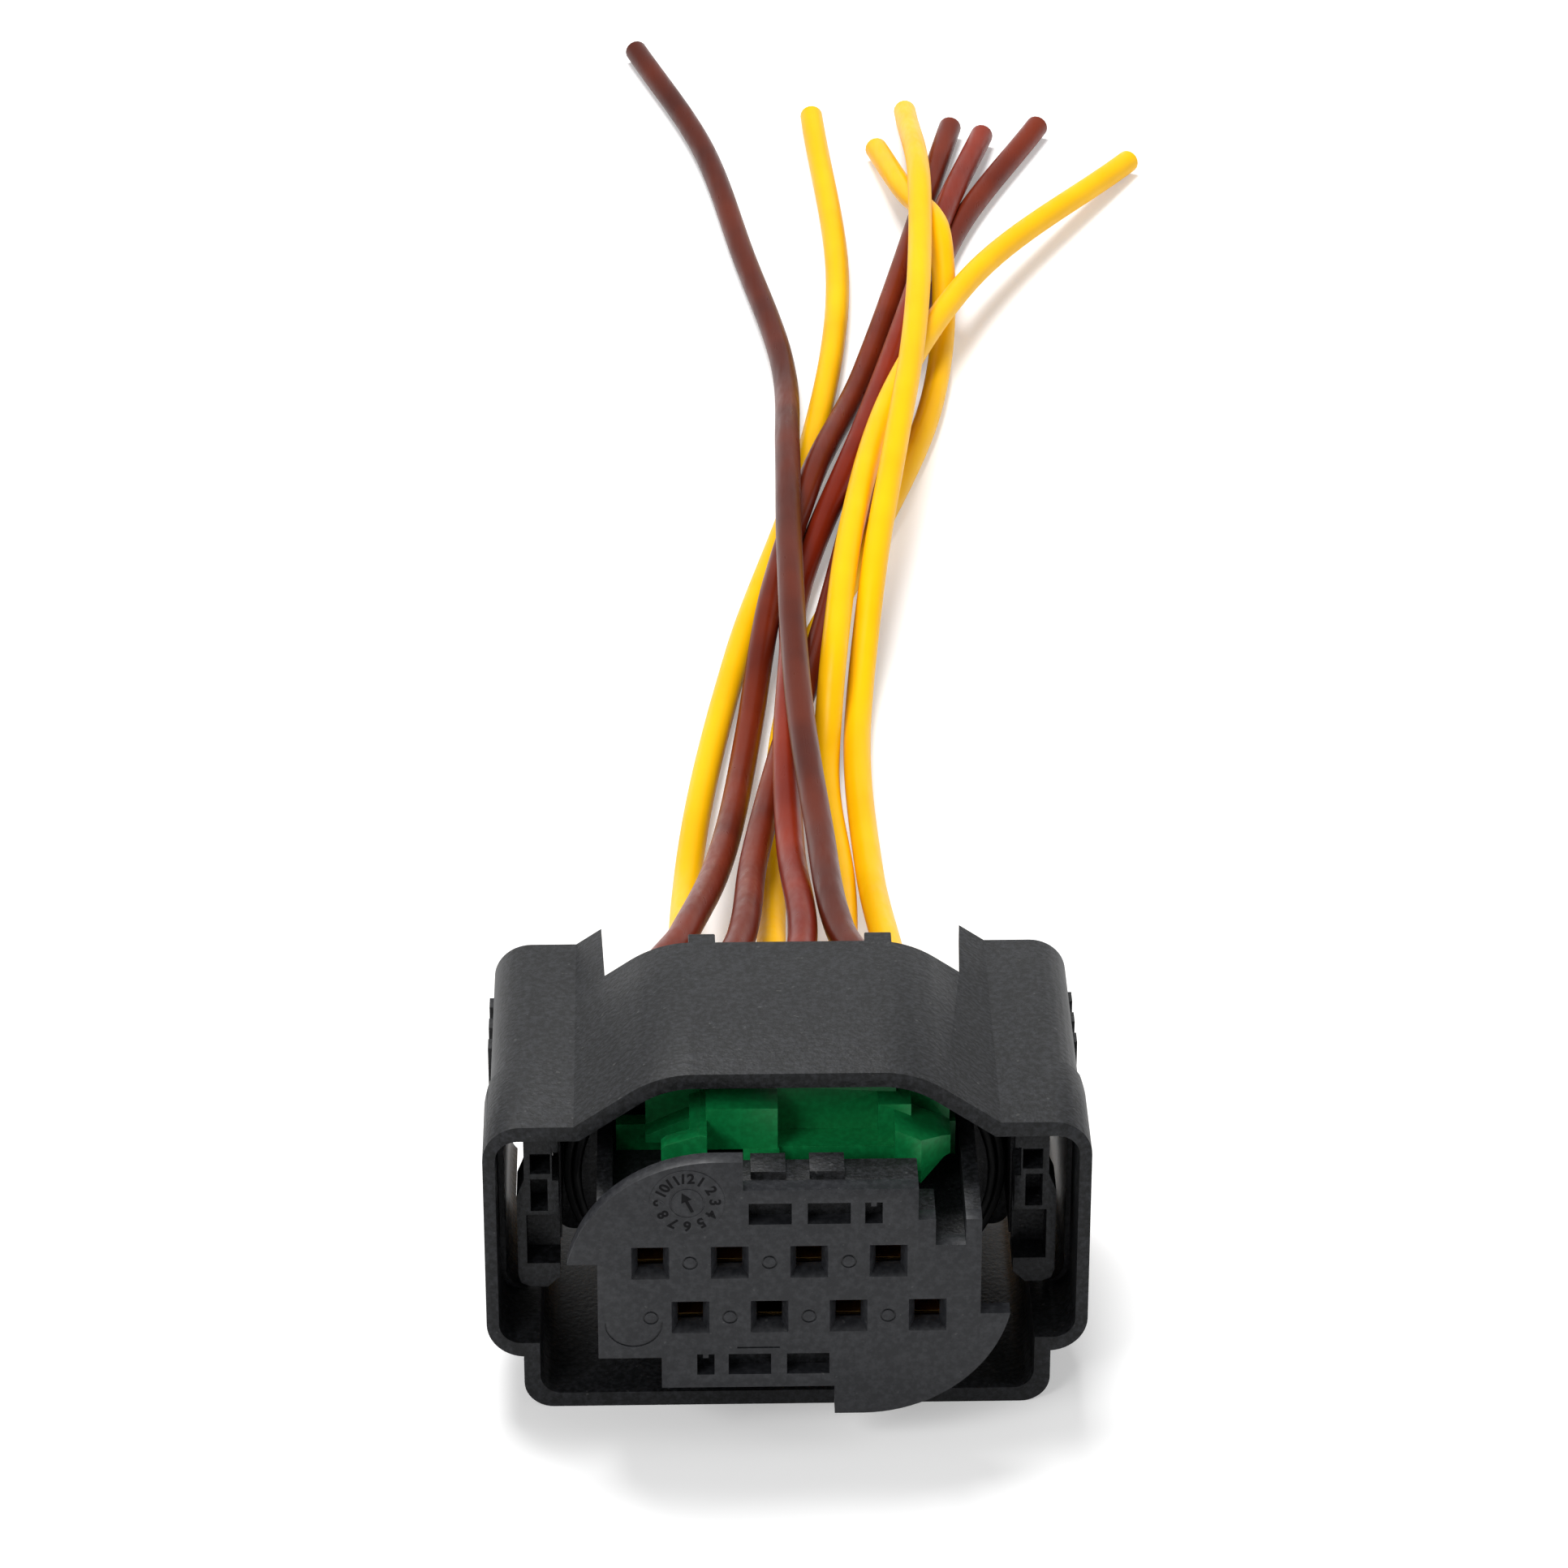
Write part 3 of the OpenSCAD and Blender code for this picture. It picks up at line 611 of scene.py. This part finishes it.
@dataclass
class Tail:
    """The loose tail of eight wires.

    Each wire leaves the rear cover straight along the mating axis, droops to the table and
    wanders over and under its neighbours to a bare cut end. The routes are those of the model.

    Attributes:
        diameter: Wire diameter over the jacket.
        crimp_y: Where the jacket starts, behind the terminal.
        exit_y: The rear face of the cover.
        straight_y: Where the wire starts to bend.
        pitch: Distance between neighbouring cavities.
        rows: Heights of the top and bottom rows.
        long_stretch: A stretch of the route longer than this gets a knot in its middle.
        curve_steps: Rings between two knots of a laid wire.
        curve_resolution: How round a laid wire is, as Blender counts it.
        core_sides: Sides of the round stretch inside the plug.
        wires: The eight wires.
    """

    diameter: float = 2.1
    crimp_y: float = 3.4
    exit_y: float = 16.0
    straight_y: float = 17.0
    pitch: float = 5.0
    rows: tuple[float, float] = (14.65, 10.55)
    long_stretch: float = 3.0
    curve_steps: int = 8
    curve_resolution: int = 7
    core_sides: int = 32
    wires: tuple[Wire, ...] = (
        Wire(1, ((-6.4, 29, 12.2), (-3.5, 52, 5.4), (-1.1, 78, 1.6), (1.1, 98, 3.1),
                 (4.4, 117, 3.4), (10, 144, 1.2), (19.8, 198, 1.1))),
        Wire(2, ((-2.3, 29, 12.2), (-1.1, 50, 6.4), (1.3, 70, 3.9), (4.8, 90, 3.3),
                 (7.5, 107, 3.6), (10.1, 126, 1.2), (14.2, 150, 1.1), (19.3, 174, 1.1),
                 (28, 198, 1.1))),
        Wire(3, ((1.9, 29, 12.2), (1.5, 50, 7.4), (1.6, 68, 6.1), (2.4, 84, 5.3), (2.9, 99, 1.4),
                 (9.4, 128, 3.3), (14.5, 154, 3.2), (17.8, 173, 2.6), (22.7, 196, 1.1))),
        Wire(4, ((4.5, 29, 12.5), (3.5, 50, 9.4), (2.7, 68, 8.3), (2.5, 100, 7), (2.8, 120, 5.4),
                 (2.9, 144, 1.8), (-0.3, 170, 1.1), (-3.7, 194, 1.1), (-9.8, 217.5, 1.1))),
        Wire(5, ((-6.4, 30, 8.2), (-5.9, 56, 1.9), (-1.7, 92, 1.1), (3.9, 122, 1.1),
                 (8.1, 160, 1.1), (6.8, 201, 1.1))),
        Wire(6, ((-0.4, 30, 8.2), (0.3, 54, 1.6), (3, 88, 1.1), (9, 110, 1.1), (15.6, 138, 1.1),
                 (17, 150, 1.5), (17.4, 157, 3.5), (17.2, 165, 5.4), (14.8, 177, 3.7),
                 (12.7, 193, 1.1))),
        Wire(7, ((4.6, 30, 8.2), (5.3, 52, 3), (4.7, 72, 1.5), (5.8, 86, 5.2), (7.8, 106, 5.8),
                 (12.2, 132, 5.2), (19.6, 156, 4.4), (36, 189.5, 1.1))),
        Wire(8, ((8.3, 30, 8.4), (7.4, 54, 3), (7.3, 78, 1.4), (9.2, 98, 5.2), (11.7, 118, 6.9),
                 (13.6, 134, 7.4), (15.7, 168, 7.3), (15.7, 202, 1.1))),
    )

    def cavity(self, wire: Wire) -> tuple[float, float]:
        """Returns the X and Z of a wire's cavity, in millimetres."""
        column = (wire.number - 1) % 4
        stagger = self.pitch / 4 * (-1 if wire.top_row else 1)
        return ((column - 1.5) * self.pitch + stagger, self.rows[0 if wire.top_row else 1])

    def route(self, wire: Wire) -> list[Vector]:
        """Returns a wire's route from the cover's rear face to its cut end, in metres."""
        x, z = self.cavity(wire)
        points = [(x, self.exit_y, z), (x, self.straight_y, z), *wire.path]
        return [Vector(point) * MM for point in points]

    @staticmethod
    def headings(route: list[Vector]) -> list[Vector]:
        """Works out the direction of a smooth line at each point of a route.

        Args:
            route: The points of the route.

        Returns:
            One direction per point, per unit of length. Heights never overshoot their points.
        """
        gaps = [(b - a).length for a, b in zip(route, route[1:])]
        slopes = [(b - a) / gap for a, b, gap in zip(route, route[1:], gaps)]
        inner = []
        for before, after, gap_a, gap_b in zip(slopes, slopes[1:], gaps, gaps[1:]):
            way = (before * gap_b + after * gap_a) / (gap_a + gap_b)
            if before.z * after.z <= 0:
                way.z = 0
            else:
                way.z = math.copysign(min(abs(way.z), 2 * abs(before.z), 2 * abs(after.z)), way.z)
            inner.append(way)
        return [Vector((0, 1, 0)), *inner, slopes[-1]]

    def lay(self, wire: Wire) -> bpy.types.Object:
        """Lays one free wire as a smooth curve.

        Args:
            wire: The wire to lay.

        Returns:
            The curve.
        """
        route = self.route(wire)
        ways = self.headings(route)
        knots: list[tuple[Vector, Vector]] = []
        for i in range(len(route) - 1):
            gap = (route[i + 1] - route[i]).length
            for step in (0, 0.5) if gap > self.long_stretch * MM else (0,):
                knots.append(self.on_curve(route, ways, i, step, gap))
        knots.append((route[-1], ways[-1].normalized()))
        curve = bpy.data.curves.new(f"wire_{wire.number}_free", "CURVE")
        curve.dimensions = "3D"
        curve.bevel_depth = self.diameter / 2 * MM
        curve.bevel_resolution = self.curve_resolution
        curve.resolution_u = self.curve_steps
        curve.use_fill_caps = True
        spline = curve.splines.new("BEZIER")
        spline.bezier_points.add(len(knots) - 1)
        for i, (point, (place, way)) in enumerate(zip(spline.bezier_points, knots)):
            back = (place - knots[i - 1][0]).length / 3 if i else MM
            ahead = (knots[i + 1][0] - place).length / 3 if i + 1 < len(knots) else MM
            point.co = place
            point.handle_left_type = point.handle_right_type = "FREE"
            point.handle_left = place - way * back
            point.handle_right = place + way * ahead
        return link(bpy.data.objects.new(curve.name, curve))

    @staticmethod
    def on_curve(
        route: list[Vector], ways: list[Vector], i: int, u: float, gap: float
    ) -> tuple[Vector, Vector]:
        """Finds a place on the smooth line between two points of the route.

        Args:
            route: The points of the route.
            ways: The line's direction at each point.
            i: The number of the stretch.
            u: How far along the stretch, from 0 to 1.
            gap: The stretch's length.

        Returns:
            The place, and the line's direction there.
        """
        a, b, ta, tb = route[i], route[i + 1], ways[i] * gap, ways[i + 1] * gap
        place = (a * (2 * u ** 3 - 3 * u ** 2 + 1) + ta * (u ** 3 - 2 * u ** 2 + u)
                 + b * (3 * u ** 2 - 2 * u ** 3) + tb * (u ** 3 - u ** 2))
        way = (a * (6 * u ** 2 - 6 * u) + ta * (3 * u ** 2 - 4 * u + 1)
               + b * (6 * u - 6 * u ** 2) + tb * (3 * u ** 2 - 2 * u))
        return place, way.normalized()

    @staticmethod
    def length(curve: bpy.types.Object) -> float:
        """Returns the length of a laid wire, in metres."""
        return curve.data.splines[0].calc_length()

    def core(self, wire: Wire) -> bpy.types.Object:
        """Makes the stretch of a wire inside the plug, from its crimp to the rear cover.

        Args:
            wire: The wire.

        Returns:
            A round tube with closed ends.
        """
        x, z = self.cavity(wire)
        span = (self.exit_y - self.crimp_y) * MM
        radius = self.diameter / 2 * MM
        work = bmesh.new()
        bmesh.ops.create_cone(
            work, cap_ends=True, segments=self.core_sides, radius1=radius, radius2=radius,
            depth=span,
            matrix=Matrix.Translation(Vector((x, (self.exit_y + self.crimp_y) / 2, z)) * MM)
            @ Matrix.Rotation(math.radians(90), 4, "X"))
        for face in work.faces:
            face.smooth = len(face.verts) == 4
        mesh = bpy.data.meshes.new(f"wire_{wire.number}_core")
        work.to_mesh(mesh)
        work.free()
        return link(bpy.data.objects.new(mesh.name, mesh))

    def build(self, jackets: dict[int, bpy.types.Material]) -> None:
        """Lays every wire and its stretch inside the plug.

        Args:
            jackets: Wire number to the finish of its jacket.
        """
        for wire in self.wires:
            free = self.lay(wire)
            core = self.core(wire)
            for piece in (free, core):
                seat(piece, Body.PLUG, jackets[wire.number])
                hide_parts(f"wire_{wire.number}")


# ---------------------------------------------------------------- the plug's own pieces


@dataclass
class PlugBody:
    """The black housing with its carrier and latches, its cap, its seals and its rear cover.

    Attributes:
        plastic: Finish of the housing and all that is moulded with it.
        cap_plastic: Finish of the front cap.
        rubber: Finish of the seals.
        edge_mm: Radius of the housing's and the latches' edges.
        carrier_edge_mm: Radius of the carrier's edges.
        cap_edge_mm: Radius of the front cap's edges.
        cover_edge_mm: Radius of the rear cover's edges.
        seal_edge_mm: Radius of the seals' lips.
    """

    plastic: bpy.types.Material
    cap_plastic: bpy.types.Material
    rubber: bpy.types.Material
    edge_mm: float = 0.12
    carrier_edge_mm: float = 0.15
    cap_edge_mm: float = 0.14
    cover_edge_mm: float = 0.18
    seal_edge_mm: float = 0.3

    def build(self) -> None:
        """Softens and dresses each moulded piece."""
        for node, edge, slot, material in (
            ("housing", self.edge_mm, Slot.BLACK, self.plastic),
            ("terminal_carrier", self.carrier_edge_mm, Slot.BLACK, self.plastic),
            ("left_latch", self.edge_mm, Slot.BLACK, self.plastic),
            ("right_latch", self.edge_mm, Slot.BLACK, self.plastic),
            ("front_cap", self.cap_edge_mm, Slot.GREY, self.cap_plastic),
            ("rear_cover", self.cover_edge_mm, Slot.BLACK, self.plastic),
            ("interface_seal", self.seal_edge_mm, Slot.SEAL, self.rubber),
            ("wire_seal", self.seal_edge_mm, Slot.SEAL, self.rubber),
        ):
            piece = softened_copy(node, edge)
            seat(piece, Body.PLUG, material)
            LOG.info("%s dressed", node)


@dataclass
class DateClock:
    """The moulder's date clock in the front cap: a dial of twelve months round an arrow.

    Attributes:
        plastic: The dial's finish.
        shadow: The finish of the numbers, near-black as painted shade, so that the raised numbers
            read as dark recesses.
        x: The dial's centre across the plug.
        z: The dial's centre above the rest plane.
        radius: The dial's radius.
        proud: How far the dial stands in front of the cap.
        number_radius: Radius of the circle of numbers.
        number_size: Height of a number's type.
        number_relief: Half the thickness of a number.
        number_weight: How much a number's strokes are fattened.
        thickness: The disc's thickness.
        rim: Width of the bevel round the disc.
        rim_drop: Height of that bevel.
        groove: Inner and outer radius of the groove round the arrow.
        groove_depth: The groove's depth.
        groove_slope: Width of each side of the groove.
        arrow_turn: Where the arrow points, in degrees right of the top.
        arrow_depth: How far the arrow's sides reach into the dial.
        sides: Sides of the disc.
    """

    plastic: bpy.types.Material
    shadow: bpy.types.Material
    x: float = -6.4
    z: float = 19.2
    radius: float = 2.35
    proud: float = 0.05
    number_radius: float = 1.72
    number_size: float = 0.98
    number_relief: float = 0.012
    number_weight: float = 0.03
    thickness: float = 0.1
    rim: float = 0.03
    rim_drop: float = 0.02
    groove: tuple[float, float] = (0.98, 1.12)
    groove_depth: float = 0.04
    groove_slope: float = 0.02
    arrow_turn: float = -25.0
    arrow_depth: float = 0.03
    sides: int = 48

    def on_face(self, angle: float = 0.0) -> Matrix:
        """Returns the matrix that lays a flat drawing on the dial, turned by an angle."""
        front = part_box("front_cap")[0][1] - self.proud * MM
        return (Matrix.Translation((self.x * MM, front, self.z * MM))
                @ Matrix.Rotation(math.radians(90), 4, "X") @ Matrix.Rotation(-angle, 4, "Z"))

    def dial(self) -> bpy.types.Object:
        """Turns the dial: a thin disc with a groove round its middle."""
        inside, outside = self.groove
        profile = (
            (self.radius, -self.thickness), (self.radius, -self.rim_drop),
            (self.radius - self.rim, 0.0), (outside, 0.0),
            (outside - self.groove_slope, -self.groove_depth),
            (inside + self.groove_slope, -self.groove_depth), (inside, 0.0))
        sides = self.sides
        work = bmesh.new()
        rings = []
        for radius, height in profile:
            turns = [i * math.tau / sides for i in range(sides)]
            rings.append([
                work.verts.new(Vector((radius * math.cos(t), radius * math.sin(t), height)) * MM)
                for t in turns])
        for outer, inner in zip(rings, rings[1:]):
            for i in range(sides):
                j = (i + 1) % sides
                work.faces.new((outer[i], outer[j], inner[j], inner[i]))
        work.faces.new(rings[-1])
        work.faces.new(list(reversed(rings[0])))
        work.transform(self.on_face())
        bmesh.ops.recalc_face_normals(work, faces=work.faces)
        mesh = bpy.data.meshes.new("date_clock_dial")
        work.to_mesh(mesh)
        work.free()
        return link(bpy.data.objects.new(mesh.name, mesh))

    def numbers(self) -> bpy.types.Object:
        """Sets the numbers 1 to 12 round the dial, with an arrow in the middle."""
        work = bmesh.new()
        for month in range(1, 13):
            angle = math.tau * month / 12
            type_curve = bpy.data.curves.new(f"month_{month}", "FONT")
            type_curve.body = str(month)
            type_curve.align_x, type_curve.align_y = "CENTER", "CENTER"
            type_curve.size = self.number_size * MM
            type_curve.extrude = self.number_relief * MM
            type_curve.offset = self.number_weight * MM
            setter = bpy.data.objects.new(type_curve.name, type_curve)
            glyph = bpy.data.meshes.new_from_object(setter)
            out = Matrix.Translation((0, self.number_radius * MM, 0))
            glyph.transform(self.on_face(angle) @ out)
            work.from_mesh(glyph)
            bpy.data.objects.remove(setter)
            bpy.data.curves.remove(type_curve)
            bpy.data.meshes.remove(glyph)
        shaft, head, reach, neck = 0.1, 0.36, 0.78, 0.1
        outline = ((-shaft, -reach), (shaft, -reach), (shaft, neck), (head, neck), (0, reach),
                   (-head, neck), (-shaft, neck))
        turn = self.on_face(math.radians(self.arrow_turn))
        arrow = work.faces.new([
            work.verts.new(turn @ Vector((x * MM, y * MM, self.number_relief * MM)))
            for x, y in outline])
        sides = bmesh.ops.extrude_face_region(work, geom=[arrow])["geom"]
        moved = [v for v in sides if isinstance(v, bmesh.types.BMVert)]
        bmesh.ops.translate(work, verts=moved, vec=(0, self.arrow_depth * MM, 0))
        bmesh.ops.recalc_face_normals(work, faces=work.faces)
        mesh = bpy.data.meshes.new("date_clock_numbers")
        work.to_mesh(mesh)
        work.free()
        return link(bpy.data.objects.new(mesh.name, mesh))

    def build(self) -> None:
        """Makes the dial and its numbers."""
        seat(self.dial(), Body.PLUG, self.plastic)
        # The numbers and arrow stand proud of the dial; their near-black finish is painted shade,
        # not a real recess.
        seat(self.numbers(), Body.PLUG, self.shadow)
        LOG.info("date clock set")


@dataclass
class Terminals:
    """The eight plated contacts."""

    metal: bpy.types.Material
    count: int = 8
    edge_mm: float = 0.05

    def build(self) -> None:
        """Softens and dresses each contact."""
        for number in range(1, self.count + 1):
            piece = softened_copy(f"terminal_{number}", self.edge_mm)
            seat(piece, Body.PLUG, self.metal)
        LOG.info("%d terminals dressed", self.count)


@dataclass
class LockSleeve:
    """The arched outer sleeve."""

    plastic: bpy.types.Material
    edge_mm: float = 0.3

    def build(self) -> None:
        """Softens and dresses the sleeve."""
        piece = softened_copy("lock_sleeve", self.edge_mm, segments=3)
        seat(piece, Body.SLEEVE, self.plastic)
        LOG.info("lock_sleeve dressed")


@dataclass
class SecondaryLock:
    """The green saddle and comb."""

    plastic: bpy.types.Material
    edge_mm: float = 0.14

    def build(self) -> None:
        """Softens and dresses the lock."""
        piece = softened_copy("secondary_lock", self.edge_mm)
        seat(piece, Body.LOCK, self.plastic)
        LOG.info("secondary_lock dressed")


def make_jackets() -> dict[int, bpy.types.Material]:
    """Makes the jackets' finishes.

    Returns:
        Wire number to its material.
    """
    # Warm brown with slow darker patches
    brown = WireJacket("brown_pvc", "722812", "581a0a").build()
    # The darkest of the browns, which tells the topmost wire from those under it
    dark_brown = WireJacket("dark_brown_pvc", "5a200e", "421408").build()
    # A redder brown, for the wire that shows brightest in the bundle
    red_brown = WireJacket("red_brown_pvc", "822812", "681a0a").build()
    # Full yellow that deepens to amber, a little duller than the browns
    yellow = WireJacket("yellow_pvc", "fcc00c", "f2b404", roughness=0.36).build()
    return {1: brown, 2: brown, 3: red_brown, 4: dark_brown,
            5: yellow, 6: yellow, 7: yellow, 8: yellow}


def main() -> None:
    """Builds the scene: camera and wires first, then the plug's pieces, then light and table."""
    logging.basicConfig(level=logging.INFO, format="%(name)s: %(message)s")
    bpy.context.scene.view_settings.view_transform = "Standard"
    studio = Studio()
    studio.place_camera()
    Tail().build(make_jackets())
    # Near-black and matt, with the paler grains of an eroded tool and a few specks of dust
    black = MouldedPlastic(
        "black_glass_filled_polyester", "0c0d0e", "242528", grain_mm=0.32, grain_depth_mm=0.05,
        roughness=0.5, shine=0.18, dust=0.12).build()
    # A shade paler and smoother than the housing, so the cap stands out from it
    grey = MouldedPlastic(
        "dark_grey_polyester", "1a1b1e", "2a2b2e", grain_mm=0.36, grain_depth_mm=0.012,
        roughness=0.42, shine=0.25, dust=0.1).build()
    # Saturated green with a satin gloss and no dust
    green = MouldedPlastic(
        "green_polyester", "0a6e38", "0f8044", grain_mm=0.4, grain_depth_mm=0.004,
        roughness=0.38, shine=0.3).build()
    # Soft black with an oily film
    rubber = MouldedSilicone("black_silicone", "0a0b0c", "101113").build()
    # Dull gold of a copper alloy, which glints in the ports
    metal = PlatedStamping("plated_copper_alloy", "c9a25c", "9c7a42").build()
    # The numbers of the date clock: raised, with a near-black finish that is painted shade, so that
    # they read as recesses that no light reaches
    painted_number_shade = MouldedPlastic(
        "painted_recess_shade", "08080a", "0e0e10", grain_mm=0.3, grain_depth_mm=0.004,
        roughness=0.7, shine=0.1).build()
    PlugBody(black, grey, rubber).build()
    DateClock(grey, painted_number_shade).build()
    Terminals(metal).build()
    LockSleeve(black).build()
    SecondaryLock(green).build()
    studio.light()
    studio.lay_floor()


if __name__ == "__main__":
    main()
